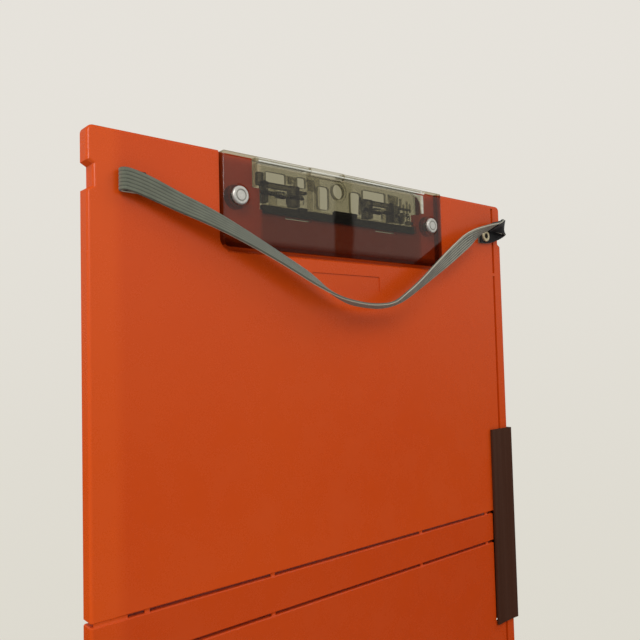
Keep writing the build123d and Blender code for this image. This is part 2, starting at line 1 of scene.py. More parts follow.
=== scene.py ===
import bmesh
import bpy
import json
import math
import numpy as np
from mathutils import Matrix, Vector


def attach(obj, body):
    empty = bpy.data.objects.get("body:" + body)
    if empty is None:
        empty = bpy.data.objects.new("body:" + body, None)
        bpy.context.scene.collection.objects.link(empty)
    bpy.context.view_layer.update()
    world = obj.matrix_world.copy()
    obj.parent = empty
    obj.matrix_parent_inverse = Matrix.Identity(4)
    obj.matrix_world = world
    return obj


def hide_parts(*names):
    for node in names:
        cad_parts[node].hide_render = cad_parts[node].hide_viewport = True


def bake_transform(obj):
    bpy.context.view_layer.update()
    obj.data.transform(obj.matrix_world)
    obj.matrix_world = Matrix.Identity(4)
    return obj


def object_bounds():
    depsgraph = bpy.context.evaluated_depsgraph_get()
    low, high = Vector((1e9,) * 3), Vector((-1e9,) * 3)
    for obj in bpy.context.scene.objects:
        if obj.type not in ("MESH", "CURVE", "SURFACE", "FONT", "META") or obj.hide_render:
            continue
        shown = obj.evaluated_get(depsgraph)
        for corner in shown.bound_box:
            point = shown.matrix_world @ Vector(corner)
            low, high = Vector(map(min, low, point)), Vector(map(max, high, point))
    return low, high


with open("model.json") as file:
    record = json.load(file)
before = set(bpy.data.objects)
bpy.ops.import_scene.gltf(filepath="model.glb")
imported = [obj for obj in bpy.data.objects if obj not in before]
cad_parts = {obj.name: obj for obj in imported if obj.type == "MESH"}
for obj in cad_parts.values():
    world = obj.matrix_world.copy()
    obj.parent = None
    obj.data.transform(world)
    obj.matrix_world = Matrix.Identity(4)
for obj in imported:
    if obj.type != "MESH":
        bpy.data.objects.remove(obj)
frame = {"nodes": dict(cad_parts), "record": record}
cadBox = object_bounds()
print("frame loaded:", len(frame["nodes"]), "nodes")


# camera: low, from the left, looking a little up at the board
cameraSet = dict(place=(-0.2057, -0.2255, -0.0728), turn=40.74, tilt=2.83, roll=-1.44, lens=38.25, sensor=36,
                 near=0.01)


def addCamera(s):
    turn, tilt, roll = (math.radians(s[k]) for k in ("turn", "tilt", "roll"))
    ahead = Vector((math.sin(turn) * math.cos(tilt), math.cos(turn) * math.cos(tilt), math.sin(tilt)))
    level = Vector((math.cos(turn), -math.sin(turn), 0))
    up = level.cross(ahead)
    right = level * math.cos(roll) + up * math.sin(roll)
    top = up * math.cos(roll) - level * math.sin(roll)
    data = bpy.data.cameras.new("camera")
    data.lens, data.sensor_width, data.clip_start = s["lens"], s["sensor"], s["near"]
    cam = bpy.data.objects.new("camera", data)
    bpy.context.collection.objects.link(cam)
    m = Matrix((right, top, -ahead)).transposed().to_4x4()
    m.translation = Vector(s["place"])
    cam.matrix_world = m
    bpy.context.scene.camera = cam


addCamera(cameraSet)
print("camera set")


def addPiece(name, points, faces, smooth=True):
    mesh = bpy.data.meshes.new(name)
    mesh.from_pydata([tuple(p) for p in points], [], faces)
    mesh.validate()
    if smooth:
        mesh.shade_smooth()
    piece = bpy.data.objects.new(name, mesh)
    bpy.context.collection.objects.link(piece)
    return piece


def ringFaces(rings, count):
    # quads between neighbouring rings of points
    faces = []
    for i in range(rings - 1):
        for k in range(count):
            n = (k + 1) % count
            faces.append((i * count + k, i * count + n, (i + 1) * count + n, (i + 1) * count + k))
    return faces


def endFaces(rings, count):
    return [tuple(range(count))[::-1], tuple((rings - 1) * count + k for k in range(count))]


# strap: a flat elastic band with half a twist, folded back at the left and looped at the right
# a station is x, y, z in metres and how far the width has turned, in degrees
strap = dict(
    width=0.0080, thickness=0.00115, ribs=6, ribDepth=0.00014, length=0.27, fineness=20, turnPasses=30,
    stations=[
        (-0.0970, -0.006625, -0.0115, 0), (-0.1010, -0.006625, -0.0115, 0),
        (-0.1044, -0.006625, -0.0115, 0), (-0.1066, -0.006825, -0.0115, 0),
        (-0.1066, -0.009550, -0.0115, 0), (-0.1042, -0.009750, -0.0115, 0),
        (-0.0975, -0.009900, -0.0131, -4), (-0.0860, -0.0110, -0.0175, -15),
        (-0.0735, -0.0120, -0.0215, -25), (-0.0590, -0.0130, -0.0274, -36),
        (-0.0435, -0.0137, -0.0344, -43), (-0.0270, -0.0142, -0.0421, -45),
        (-0.0160, -0.0144, -0.0481, -68), (-0.0050, -0.0146, -0.0515, -88),
        (0.0055, -0.0146, -0.0525, -94), (0.0170, -0.0146, -0.0521, -104),
        (0.0275, -0.0144, -0.0481, -128), (0.0380, -0.0142, -0.0421, -136),
        (0.0510, -0.0137, -0.0339, -150), (0.0650, -0.0135, -0.0251, -168),
        (0.0785, -0.0130, -0.0165, -172), (0.0920, -0.0126, -0.0101, -125),
        (0.1045, -0.0126, -0.0061, -105), (0.1126, -0.0116, -0.0057, -170),
        (0.1144, -0.0092, -0.0071, -180), (0.1112, -0.0071, -0.0093, -180),
        (0.1056, -0.006625, -0.0111, -180), (0.1010, -0.006625, -0.0115, -180),
        (0.0970, -0.006625, -0.0115, -180),
    ],
)
# the linings lie on the strap's end loops: loop is how many stations from an end, cover a stretch of stations
tape = dict(width=0.0076, thickness=0.0005, ribs=11, ribDepth=0.00004, loop=6, cover=(21.3, 24.6))
bandEdge = dict(inset=0.00018, round=0.00004, shoulder=0.45, ribSteps=6, ribShape=0.7)


def routeLine(stations, fineness):
    curve = bpy.data.curves.new("strapRoute", "CURVE")
    curve.dimensions = "3D"
    curve.resolution_u = fineness
    line = curve.splines.new("NURBS")
    line.points.add(len(stations) - 1)
    for point, station in zip(line.points, stations):
        point.co = (*station[:3], 1)
    line.order_u = 3
    line.use_endpoint_u = True
    guide = bpy.data.objects.new("strapRoute", curve)
    bpy.context.collection.objects.link(guide)
    mesh = bpy.data.meshes.new_from_object(guide)
    points = np.array([v.co[:] for v in mesh.vertices])
    bpy.data.meshes.remove(mesh)
    bpy.data.objects.remove(guide)
    return points


def routeFrames(stations, points, passes):
    # a quadratic spline's pull of station k is strongest half a span before knot k
    pull = np.concatenate(([0], np.arange(len(stations) - 2) + 0.5, [len(stations) - 2]))
    at = np.linspace(0, len(stations) - 2, len(points))
    turn = np.interp(at, pull, [math.radians(q[3]) for q in stations])
    for _ in range(passes):
        turn[1:-1] = (turn[:-2] + 2 * turn[1:-1] + turn[2:]) / 4
    frames = []
    for i, p in enumerate(points):
        along = Vector(points[min(i + 1, len(points) - 1)] - points[max(i - 1, 0)]).normalized()
        up = Vector((0, 0, 1))
        wide = (up - along * up.dot(along)).normalized()
        face = along.cross(wide)
        w = wide * math.cos(turn[i]) + face * math.sin(turn[i])
        frames.append((Vector(p), w, along.cross(w), at[i]))
    return frames


def ribbedSection(s, edge):
    # one turn round the band: its front face with ribs, an edge, its back face, an edge
    half, low = s["width"] / 2, s["thickness"] / 2
    steps = s["ribs"] * edge["ribSteps"]
    face = []
    for k in range(steps + 1):
        a = 1 - 2 * k / steps
        rib = abs(math.sin(math.pi * s["ribs"] * k / steps)) ** edge["ribShape"]
        face.append((a * (half - edge["inset"]), low - s["ribDepth"] + s["ribDepth"] * rib))
    shoulder = low * edge["shoulder"]
    edgePoints = [(-half + edge["round"], shoulder), (-half, 0), (-half + edge["round"], -shoulder)]
    return face + edgePoints + [(-a, -b) for a, b in face] + [(-a, -b) for a, b in edgePoints]


def addBand(name, frames, section, offset=0.0):
    points, across = [], []
    run, last = 0.0, frames[0][0]
    for p, wide, face, _ in frames:
        run += (p - last).length
        last = p
        for a, b in section:
            points.append(p + wide * a + face * (b + offset))
            across.append((a, run, b))
    faces = ringFaces(len(frames), len(section)) + endFaces(len(frames), len(section))
    piece = addPiece(name, points, faces)
    place = piece.data.attributes.new("bandPlace", "FLOAT_VECTOR", "POINT")
    place.data.foreach_set("vector", np.array(across, dtype=np.float32).ravel())
    return piece


line = routeLine(strap["stations"], strap["fineness"])
bandFrames = routeFrames(strap["stations"], line, strap["turnPasses"])
strapBand = addBand("elasticBand", bandFrames, ribbedSection(strap, bandEdge))
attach(strapBand, "upper")
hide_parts("elastic_strap")

tapeSection = ribbedSection(tape, bandEdge)
tapeOffset = (strap["thickness"] + tape["thickness"]) / 2
span = len(strap["stations"]) - 2
linings = []
for name, side, low, high in (("left", -1, -1, tape["loop"]), ("right", 1, span - tape["loop"], span + 1)):
    lining = addBand("liningTape_" + name, [f for f in bandFrames if low < f[3] < high], tapeSection,
                     side * tapeOffset)
    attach(lining, "upper")
    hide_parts("strap_lining_" + name)
    linings.append(lining)

# the right loop's outer face is black too, from the eyelet round to the side
low, high = tape["cover"]
outer = addBand("liningTape_outer", [f for f in bandFrames if low < f[3] < high], tapeSection, -tapeOffset)
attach(outer, "upper")
linings.append(outer)

print("strap laid:", len(bandFrames), "rings")


# node helpers: addNode gives its node, most others the socket to go on from
def addNode(tree, kind, inputs=(), **settings):
    node = tree.nodes.new(kind)
    for key, value in settings.items():
        setattr(node, key, value)
    for key, value in dict(inputs).items():
        if isinstance(value, bpy.types.NodeSocket):
            tree.links.new(value, node.inputs[key])
        else:
            node.inputs[key].default_value = value
    return node


def coords(tree, scale=(1, 1, 1)):
    place = addNode(tree, "ShaderNodeTexCoord")
    return addNode(tree, "ShaderNodeMapping", {"Vector": place.outputs["Object"], "Scale": scale}).outputs[0]


def split(tree, vector):
    return addNode(tree, "ShaderNodeSeparateXYZ", {0: vector}).outputs


def noise(tree, where, scale, detail=3.0, rough=0.55):
    return addNode(tree, "ShaderNodeTexNoise",
                   {"Vector": where, "Scale": scale, "Detail": detail, "Roughness": rough}).outputs["Fac"]


def ramp(tree, value, low, high, toLow=0.0, toHigh=1.0, kind="LINEAR"):
    return addNode(tree, "ShaderNodeMapRange",
                   {"Value": value, "From Min": low, "From Max": high, "To Min": toLow, "To Max": toHigh},
                   interpolation_type=kind).outputs[0]


def mixColour(tree, factor, a, b, blend="MIX"):
    wrap = lambda c: c if isinstance(c, bpy.types.NodeSocket) else (*c[:3], 1)
    return addNode(tree, "ShaderNodeMix", {"Factor": factor, "A": wrap(a), "B": wrap(b)}, data_type="RGBA",
                   blend_type=blend).outputs["Result"]


def mixShader(tree, factor, a, b):
    return addNode(tree, "ShaderNodeMixShader", {0: factor, 1: a, 2: b}).outputs[0]


def calc(tree, kind, a, b=0.0):
    return addNode(tree, "ShaderNodeMath", {0: a, 1: b}, operation=kind).outputs[0]


def product(tree, first, *others):
    for other in others:
        first = calc(tree, "MULTIPLY", first, other)
    return first


def bump(tree, shader, height, distance, strength=1.0, under=None):
    node = addNode(tree, "ShaderNodeBump", {"Height": height, "Strength": strength, "Distance": distance})
    if under is not None:
        tree.links.new(under, node.inputs["Normal"])
    tree.links.new(node.outputs[0], shader.inputs["Normal"])
    return node.outputs[0]


def startMaterial(name, colour, rough, **sockets):
    mat = bpy.data.materials.new(name)
    mat.use_nodes = True
    shader = mat.node_tree.nodes["Principled BSDF"]
    shader.inputs["Base Color"].default_value = (*colour, 1)
    shader.inputs["Roughness"].default_value = rough
    for key, value in sockets.items():
        shader.inputs[key].default_value = value
    return mat, mat.node_tree, shader


def toSurface(tree, shader, output="Material Output"):
    tree.links.new(shader, tree.nodes[output].inputs["Surface"])


# floor: a pale disc that fades into the room
floorSet = dict(drop=0.22, radius=1.4, sides=96, colour=(0.74, 0.72, 0.68), rough=0.8, fade=(0.35, 0.95))


def addFloor(s):
    z = cadBox[0].z - s["drop"]
    turns = [2 * math.pi * k / s["sides"] for k in range(s["sides"])]
    points = [(s["radius"] * math.cos(a), s["radius"] * math.sin(a), z) for a in turns]
    floor = addPiece("floor", points, [tuple(range(s["sides"]))], smooth=False)
    floor.visible_glossy = False
    mat, tree, shader = startMaterial("paleFloor", s["colour"], s["rough"])
    place = split(tree, addNode(tree, "ShaderNodeTexCoord").outputs["Object"])
    level = addNode(tree, "ShaderNodeCombineXYZ", {"X": place["X"], "Y": place["Y"]})
    away = addNode(tree, "ShaderNodeVectorMath", {0: level.outputs[0]}, operation="LENGTH")
    fade = ramp(tree, away.outputs["Value"], *s["fade"], kind="SMOOTHSTEP")
    clear = addNode(tree, "ShaderNodeBsdfTransparent")
    toSurface(tree, mixShader(tree, fade, shader.outputs[0], clear.outputs[0]))
    floor.data.materials.append(mat)


# room: what the eye sees, what the plastic mirrors and what lights the part are three levels of one pale room
# the mirrored room has a dark upright band, and is darker to the right, at the foot, at the sides and high up
room = dict(
    high=(0.790, 0.762, 0.708), low=(0.725, 0.700, 0.625), height=(-0.45, 0.45),
    light=(0.86, 0.86, 0.88), strength=0.55,
    # azimuths in degrees
    band=dict(turn=43.0, half=0.8, soft=0.15, dark=0.12),
    across=dict(turn=(30, 52), level=(1.0, 0.75)),
    foot=dict(height=(-0.14, 0.14), level=(0.0, 1.0)),
    sides=dict(turn=(58, 90), level=(1.0, 0.3)),
    top=dict(height=(0.35, 0.7), level=(1.0, 0.5)),
)


def addRoom(s):
    world = bpy.data.worlds.new("room")
    bpy.context.scene.world = world
    world.use_nodes = True
    tree = world.node_tree
    light = tree.nodes["Background"]
    light.inputs["Color"].default_value = (*s["light"], 1)
    light.inputs["Strength"].default_value = s["strength"]
    place = split(tree, addNode(tree, "ShaderNodeTexCoord").outputs["Generated"])
    tint = mixColour(tree, ramp(tree, place["Z"], *s["height"], kind="SMOOTHSTEP"), s["low"], s["high"])
    seen = addNode(tree, "ShaderNodeBackground", {"Color": tint, "Strength": 1.0})

    turn = calc(tree, "ARCTAN2", place["X"], calc(tree, "MULTIPLY", place["Y"], -1.0))
    off = calc(tree, "ABSOLUTE", calc(tree, "SUBTRACT", turn, math.radians(s["band"]["turn"])))
    inner, outer = (math.radians(s["band"]["half"] + q * s["band"]["soft"]) for q in (-1, 1))
    across, foot, sides, top = s["across"], s["foot"], s["sides"], s["top"]
    level = product(
        tree,
        ramp(tree, off, inner, outer, s["band"]["dark"], 1.0),
        ramp(tree, turn, *map(math.radians, across["turn"]), *across["level"]),
        ramp(tree, place["Z"], *foot["height"], *foot["level"]),
        ramp(tree, calc(tree, "ABSOLUTE", turn), *map(math.radians, sides["turn"]), *sides["level"]),
        ramp(tree, place["Z"], *top["height"], *top["level"]),
    )
    mirrored = addNode(tree, "ShaderNodeBackground", {"Color": tint, "Strength": level})
    rays = addNode(tree, "ShaderNodeLightPath")
    looking = calc(tree, "MAXIMUM", rays.outputs["Is Camera Ray"], rays.outputs["Is Transmission Ray"])
    shown = mixShader(tree, rays.outputs["Is Glossy Ray"], light.outputs[0], mirrored.outputs[0])
    toSurface(tree, mixShader(tree, looking, shown, seen.outputs[0]), "World Output")


# lamps: places and aims in metres, only the key lamp shows in the mirrors
lamps = dict(
    key=dict(place=(-0.66, -0.63, 0.44), aim=(0, 0, -0.10), size=0.5, power=5.2, colour=(1.0, 0.985, 0.955)),
    side=dict(place=(-1.3, 0.25, 0.10), aim=(-0.12, 0, -0.10), size=0.5, power=3.3, colour=(1.0, 0.98, 0.95)),
    fill=dict(place=(0.60, -0.46, 0.56), aim=(0.05, 0, -0.08), size=0.5, power=2.3, colour=(0.96, 0.98, 1.0)),
    back=dict(place=(-0.4, 1.3, 0.9), aim=(0, 0, -0.1), size=1.2, power=7.5, colour=(1.0, 1.0, 1.0)),
)
mirroredLamps = ["key"]


def addLamp(name, s):
    data = bpy.data.lights.new(name, "AREA")
    data.shape, data.size, data.energy, data.color = "SQUARE", s["size"], s["power"], s["colour"]
    lamp = bpy.data.objects.new(name, data)
    bpy.context.collection.objects.link(lamp)
    lamp.visible_glossy = name in mirroredLamps
    lamp.location = s["place"]
    lamp.rotation_mode = "QUATERNION"
    lamp.rotation_quaternion = (Vector(s["aim"]) - Vector(s["place"])).to_track_quat("-Z", "Y")


addFloor(floorSet)
addRoom(room)
for lampName, lampSet in lamps.items():
    addLamp(lampName, lampSet)
bpy.context.scene.view_settings.view_transform = "Standard"
print("stage and lamps set")


# orange plastic of the boards: a faint patchy tone and a fine grain
# the band along the left edge is lighter with painted highlight, and the panels below the fold are darker
# with painted shade: where each change starts and ends in metres
orange = dict(
    colour=(0.600, 0.0665, 0.0040), light=(0.612, 0.073, 0.0050), deep=(0.588, 0.061, 0.0034),
    rough=0.27, shine=0.36,
    patch=dict(scale=9, span=(0.35, 0.65)), clouds=dict(scale=60, span=(0.45, 0.75), share=0.35),
    grain=dict(scale=2600, span=(0.3, 0.7), share=0.12, depth=0.000035),
    swell=dict(scale=160, depth=0.00012), bumpStrength=0.35,
    glossSpan=(0.3, 0.7), cloudGloss=(-0.03, 0.04), grainGloss=(-0.02, 0.02),
    leftEdgeHighlight=dict(x=(-0.1090, -0.1045), gain=1.06),
    shadeBelowFold=dict(z=(-0.1600, -0.1590), tone=(0.93, 0.87, 0.75)),
)


def orangePlastic(s):
    mat, tree, shader = startMaterial("orangePlastic", s["colour"], s["rough"],
                                      **{"Specular IOR Level": s["shine"]})
    where = coords(tree)
    place = split(tree, where)
    patch = noise(tree, where, s["patch"]["scale"], 2)
    clouds = noise(tree, where, s["clouds"]["scale"], 4)
    grain = noise(tree, where, s["grain"]["scale"], 2, 0.6)
    tone = mixColour(tree, ramp(tree, patch, *s["patch"]["span"]), s["deep"], s["colour"])
    for what, noiseSet, other in ((clouds, s["clouds"], s["light"]), (grain, s["grain"], s["deep"])):
        tone = mixColour(tree, ramp(tree, what, *noiseSet["span"], 0, noiseSet["share"]), tone, other)
    # painted highlight: a lighter band along the left edge of the board
    edge = [min(1.0, q * s["leftEdgeHighlight"]["gain"]) for q in s["light"]]
    tone = mixColour(tree, ramp(tree, place["X"], *s["leftEdgeHighlight"]["x"], 1, 0), tone, edge)
    # painted shade: the panels below the fold are multiplied darker
    below = ramp(tree, place["Z"], *s["shadeBelowFold"]["z"], 1, 0)
    tone = mixColour(tree, below, tone, s["shadeBelowFold"]["tone"], "MULTIPLY")
    tree.links.new(tone, shader.inputs["Base Color"])
    cloudGloss = [s["rough"] + q for q in s["cloudGloss"]]
    gloss = calc(tree, "ADD", ramp(tree, clouds, *s["glossSpan"], *cloudGloss),
                 ramp(tree, grain, *s["glossSpan"], *s["grainGloss"]))
    tree.links.new(gloss, shader.inputs["Roughness"])
    skin = bump(tree, shader, grain, s["grain"]["depth"], s["bumpStrength"])
    swell = noise(tree, where, s["swell"]["scale"], 2)
    bump(tree, shader, swell, s["swell"]["depth"], s["bumpStrength"], skin)
    return mat


# brown plastic of the lock: drawn streaks along its length
lockFinish = dict(
    colour=(0.056, 0.0212, 0.0118), light=(0.076, 0.033, 0.020), shine=0.12,
    rough=0.36, roughSpan=(-0.06, 0.08), glossSpan=(0.3, 0.7),
    streak=dict(stretch=(900, 900, 12), span=(0.4, 0.75), share=0.55, depth=0.00004, strength=0.5),
    grain=dict(scale=2200, depth=0.00003, strength=0.4),
)


def brownPlastic(s):
    mat, tree, shader = startMaterial("brownPlastic", s["colour"], s["rough"],
                                      **{"Specular IOR Level": s["shine"]})
    streakSet, grainSet = s["streak"], s["grain"]
    streak = noise(tree, coords(tree, streakSet["stretch"]), 1.0, 3)
    grain = noise(tree, coords(tree), grainSet["scale"], 2)
    lit = ramp(tree, streak, *streakSet["span"], 0, streakSet["share"])
    tone = mixColour(tree, lit, s["colour"], s["light"])
    tree.links.new(tone, shader.inputs["Base Color"])
    roughSpan = [s["rough"] + q for q in s["roughSpan"]]
    tree.links.new(ramp(tree, streak, *s["glossSpan"], *roughSpan), shader.inputs["Roughness"])
    skin = bump(tree, shader, grain, grainSet["depth"], grainSet["strength"])
    bump(tree, shader, streak, streakSet["depth"], streakSet["strength"], skin)
    return mat


# smoke plastic of the clip: a tinted clear body under a mirroring skin, darker through its side walls
# a region of the cover is left, right, foot and top in metres, how soft its edge is, and the tint there; the
# regions paint shade on the middle and the lip and a highlight on the top band and the right end
smokeBase = dict(
    body=(0.030, 0.020, 0.014), bodyRough=0.25, haze=0.02, hazeMore=0.05, gloss=0.02, ior=1.49,
    sideways=(0.35, 0.85), rimSoft=0.0002, regions=[],
    wave=dict(scale=45, depth=0.0002, strength=0.25),
    rub=dict(stretch=(220, 220, 60), scale=6.0, span=(0.35, 0.8)),
)
smoke = dict(
    smokeBase, clear=(0.750, 0.695, 0.590), wall=(0.66, 0.61, 0.50), lip=(-0.0290, -0.0266, 0.25, 1),
    regions=[
        # painted shade: the cover over the deep pocket is tinted darker than its ends
        (-0.0470, 0.0490, -0.0296, 0.0034, 0.0002, (0.618, 0.602, 0.500)),
        # painted highlight: the top band and the right end of the cover are tinted paler
        (-0.0486, 0.0524, 0.0034, 0.0080, 0.0002, (0.880, 0.880, 0.845)),
        (0.0496, 0.0526, -0.0052, 0.0040, 0.0002, (0.880, 0.880, 0.845)),
        # painted shade: the lip at the foot of the cover is tinted darker
        (-0.0700, 0.0700, -0.0312, -0.0268, 0.0016, (0.540, 0.470, 0.360)),
        (-0.0700, 0.0700, -0.0312, -0.0288, 0.0006, (0.430, 0.350, 0.250)),
    ],
)
plateSmoke = dict(smokeBase, clear=(0.86, 0.845, 0.785), wall=(0.34, 0.33, 0.28), rimWall=(0.70, 0.69, 0.62),
                  rimStart=-0.0016)
leverSmoke = dict(plateSmoke, wall=(0.80, 0.79, 0.73), rimWall=(0.80, 0.79, 0.73))
bracketSmoke = dict(plateSmoke, clear=(0.46, 0.45, 0.41), wall=(0.22, 0.215, 0.200),
                    rimWall=(0.22, 0.215, 0.200), haze=0.05)


def insideRegion(tree, place, left, right, foot, top, soft):
    spans = []
    for at, low, high in ((place["X"], left, right), (place["Z"], foot, top)):
        spans.append(product(tree, ramp(tree, at, low, low + soft), ramp(tree, at, high - soft, high, 1, 0)))
    return product(tree, *spans)


def smokePlastic(name, s):
    mat, tree, shader = startMaterial(name, s["body"], s["bodyRough"])
    around = addNode(tree, "ShaderNodeTexCoord").outputs
    place = split(tree, around["Object"])
    tint = (*s["clear"], 1)
    for *region, colour in s["regions"]:
        tint = mixColour(tree, insideRegion(tree, place, *region), tint, colour)
    wall = s["wall"]
    if "rimWall" in s:
        atRim = ramp(tree, place["Y"], s["rimStart"] - s["rimSoft"], s["rimStart"], 1, 0)
        wall = mixColour(tree, atRim, wall, s["rimWall"])
    facing = calc(tree, "ABSOLUTE", split(tree, around["Normal"])["Y"])
    tint = mixColour(tree, ramp(tree, facing, *s["sideways"], 1, 0), tint, wall)
    clear = addNode(tree, "ShaderNodeBsdfTransparent", {"Color": tint})

    shine = addNode(tree, "ShaderNodeBsdfGlossy", {"Color": (1, 1, 1, 1), "Roughness": s["gloss"]})
    wave = noise(tree, coords(tree), s["wave"]["scale"], 2)
    bump(tree, shine, wave, s["wave"]["depth"], s["wave"]["strength"])
    edge = addNode(tree, "ShaderNodeFresnel", {"IOR": s["ior"]}).outputs[0]
    backFace = addNode(tree, "ShaderNodeNewGeometry").outputs["Backfacing"]
    mirror = product(tree, edge, calc(tree, "SUBTRACT", 1.0, backFace))
    if "lip" in s:
        mirror = product(tree, mirror, ramp(tree, place["Z"], *s["lip"]))

    rub = noise(tree, coords(tree, s["rub"]["stretch"]), s["rub"]["scale"], 5, 0.7)
    haze = ramp(tree, rub, *s["rub"]["span"], s["haze"], s["haze"] + s["hazeMore"])
    body = mixShader(tree, haze, clear.outputs[0], shader.outputs[0])
    toSurface(tree, mixShader(tree, mirror, body, shine.outputs[0]))
    return mat


# black rubber of the grip bar and its stop
rubberFinish = dict(
    colour=(0.010, 0.009, 0.010), light=(0.022, 0.020, 0.021),
    rough=0.55, roughSpan=(-0.08, 0.1), glossSpan=(0.3, 0.7),
    grain=dict(scale=1800, span=(0.3, 0.8), share=0.6, depth=0.00004, strength=0.5),
)


def blackRubber(s):
    mat, tree, shader = startMaterial("blackRubber", s["colour"], s["rough"])
    grainSet = s["grain"]
    grain = noise(tree, coords(tree), grainSet["scale"], 3)
    lit = ramp(tree, grain, *grainSet["span"], 0, grainSet["share"])
    tone = mixColour(tree, lit, s["colour"], s["light"])
    tree.links.new(tone, shader.inputs["Base Color"])
    roughSpan = [s["rough"] + q for q in s["roughSpan"]]
    tree.links.new(ramp(tree, grain, *s["glossSpan"], *roughSpan), shader.inputs["Roughness"])
    bump(tree, shader, grain, grainSet["depth"], grainSet["strength"])
    return mat


# sage elastic: dark grooves between pale ribs on one face, a smooth knit on the other, and a painted
# highlight along both edges
# tone spans are shares of the rib's height, or of the noise's
elastic = dict(
    pale=(0.400, 0.385, 0.285), mid=(0.140, 0.140, 0.096), dark=(0.010, 0.010, 0.008),
    smooth=(0.140, 0.150, 0.105), smoothDeep=(0.040, 0.045, 0.032), edgeLightTone=(0.55, 0.50, 0.38),
    rough=0.85, sheen=0.25, sheenRough=0.5, ribbedSide=-1, faceSoft=0.0003,
    grooveSpan=(0.25, 0.80), crestSpan=(0.6, 1.0), crestFuzz=(0.3, 0.7, 0.2, 0.8),
    smoothSpan=(0.10, 0.60), smoothLeast=0.15, edgeLightStart=0.00045, edgeLightEnd=0.00015,
    pick=0.00045, pickDepth=0.00010, pickStrength=0.7, fuzz=5200, fuzzDepth=0.00006, fuzzStrength=0.6,
    patch=160, patchSpan=(0.35, 0.7), patchPale=0.25, patchDeep=0.3,
)


def elasticWeave(s, band, edge):
    mat, tree, shader = startMaterial("sageElastic", s["mid"], s["rough"],
                                      **{"Sheen Weight": s["sheen"], "Sheen Roughness": s["sheenRough"]})
    place = split(tree, addNode(tree, "ShaderNodeAttribute", attribute_name="bandPlace").outputs["Vector"])
    across, along, back = place["X"], place["Y"], place["Z"]
    ribAngle = product(tree, across, math.pi * band["ribs"] / (band["width"] - 2 * edge["inset"]))
    rib = calc(tree, "ABSOLUTE", calc(tree, "COSINE" if band["ribs"] % 2 else "SINE", ribAngle))
    picks = calc(tree, "ADD", product(tree, along, 2 * math.pi / s["pick"]), ribAngle)
    weave = ramp(tree, calc(tree, "SINE", picks), -1, 1)
    fuzz = noise(tree, coords(tree), s["fuzz"], 2, 0.7)
    patch = noise(tree, coords(tree), s["patch"], 3)

    ribbed = mixColour(tree, ramp(tree, rib, *s["grooveSpan"]), s["dark"], s["mid"])
    crest = product(tree, ramp(tree, rib, *s["crestSpan"]), ramp(tree, fuzz, *s["crestFuzz"]))
    ribbed = mixColour(tree, crest, ribbed, s["pale"])
    ribbed = mixColour(tree, ramp(tree, patch, *s["patchSpan"], 0, s["patchPale"]), ribbed, s["pale"])
    # painted highlight: a pale colour along both edges of the band
    onLitEdge = ramp(tree, calc(tree, "ABSOLUTE", across), band["width"] / 2 - s["edgeLightStart"],
                  band["width"] / 2 - s["edgeLightEnd"])
    ribbed = mixColour(tree, onLitEdge, ribbed, s["edgeLightTone"])

    raised = ramp(tree, rib, *s["smoothSpan"], s["smoothLeast"], 1.0)
    plain = mixColour(tree, raised, s["smoothDeep"], s["smooth"])
    plain = mixColour(tree, ramp(tree, patch, *s["patchSpan"], 0, s["patchDeep"]), plain, s["smoothDeep"])
    ribbedFace = ramp(tree, product(tree, back, s["ribbedSide"]), 0.0, s["faceSoft"])
    tree.links.new(mixColour(tree, ribbedFace, plain, ribbed), shader.inputs["Base Color"])
    knit = bump(tree, shader, weave, s["pickDepth"], s["pickStrength"])
    bump(tree, shader, fuzz, s["fuzzDepth"], s["fuzzStrength"], knit)
    return mat


# black tape of the linings: a slanted twill
tapeFinish = dict(dark=(0.006, 0.0055, 0.006), light=(0.028, 0.027, 0.030), rough=0.8, sheen=0.15,
                  sheenRough=0.4, slant=(9000, 5200), fuzz=4800, twillDepth=0.00006, twillStrength=0.7)


def blackTape(s):
    mat, tree, shader = startMaterial("blackTape", s["dark"], s["rough"],
                                      **{"Sheen Weight": s["sheen"], "Sheen Roughness": s["sheenRough"]})
    place = split(tree, addNode(tree, "ShaderNodeAttribute", attribute_name="bandPlace").outputs["Vector"])
    across, along = (product(tree, place[axis], much) for axis, much in zip("XY", s["slant"]))
    slant = calc(tree, "ADD", across, along)
    twill = ramp(tree, calc(tree, "SINE", slant), -1, 1)
    fuzz = noise(tree, coords(tree), s["fuzz"], 2, 0.7)
    tone = mixColour(tree, product(tree, twill, fuzz), s["dark"], s["light"])
    tree.links.new(tone, shader.inputs["Base Color"])
    bump(tree, shader, twill, s["twillDepth"], s["twillStrength"])
    return mat


# turned metal: rings of the lathe round a centre that is the same on both sides of the part
turning = dict(roughSpan=(-0.06, 0.14), spots=1500, dullSpan=(0.35, 0.8), spotSpan=(0.3, 0.75),
               ringDepth=0.00002, ringStrength=0.5, grooveCore=0.6)
rivetFinish = dict(turning, colour=(0.76, 0.75, 0.70), dull=(0.58, 0.57, 0.52), rough=0.38, metal=0.6,
                   ring=0.00060, centre=(0.0572, -0.0104), groove=0.00215, grooveHalf=0.00034,
                   grooveShade=(0.36, 0.35, 0.31))
eyeletFinish = dict(turning, colour=(0.86, 0.76, 0.52), dull=(0.66, 0.54, 0.32), rough=0.28, metal=0.75,
                    ring=0.00045, centre=(0.1015, -0.0115))
springFinish = dict(turning, colour=(0.66, 0.66, 0.67), dull=(0.40, 0.40, 0.41), rough=0.20, metal=1.0,
                    ring=0.00060, centre=(0.0340, -0.0065))


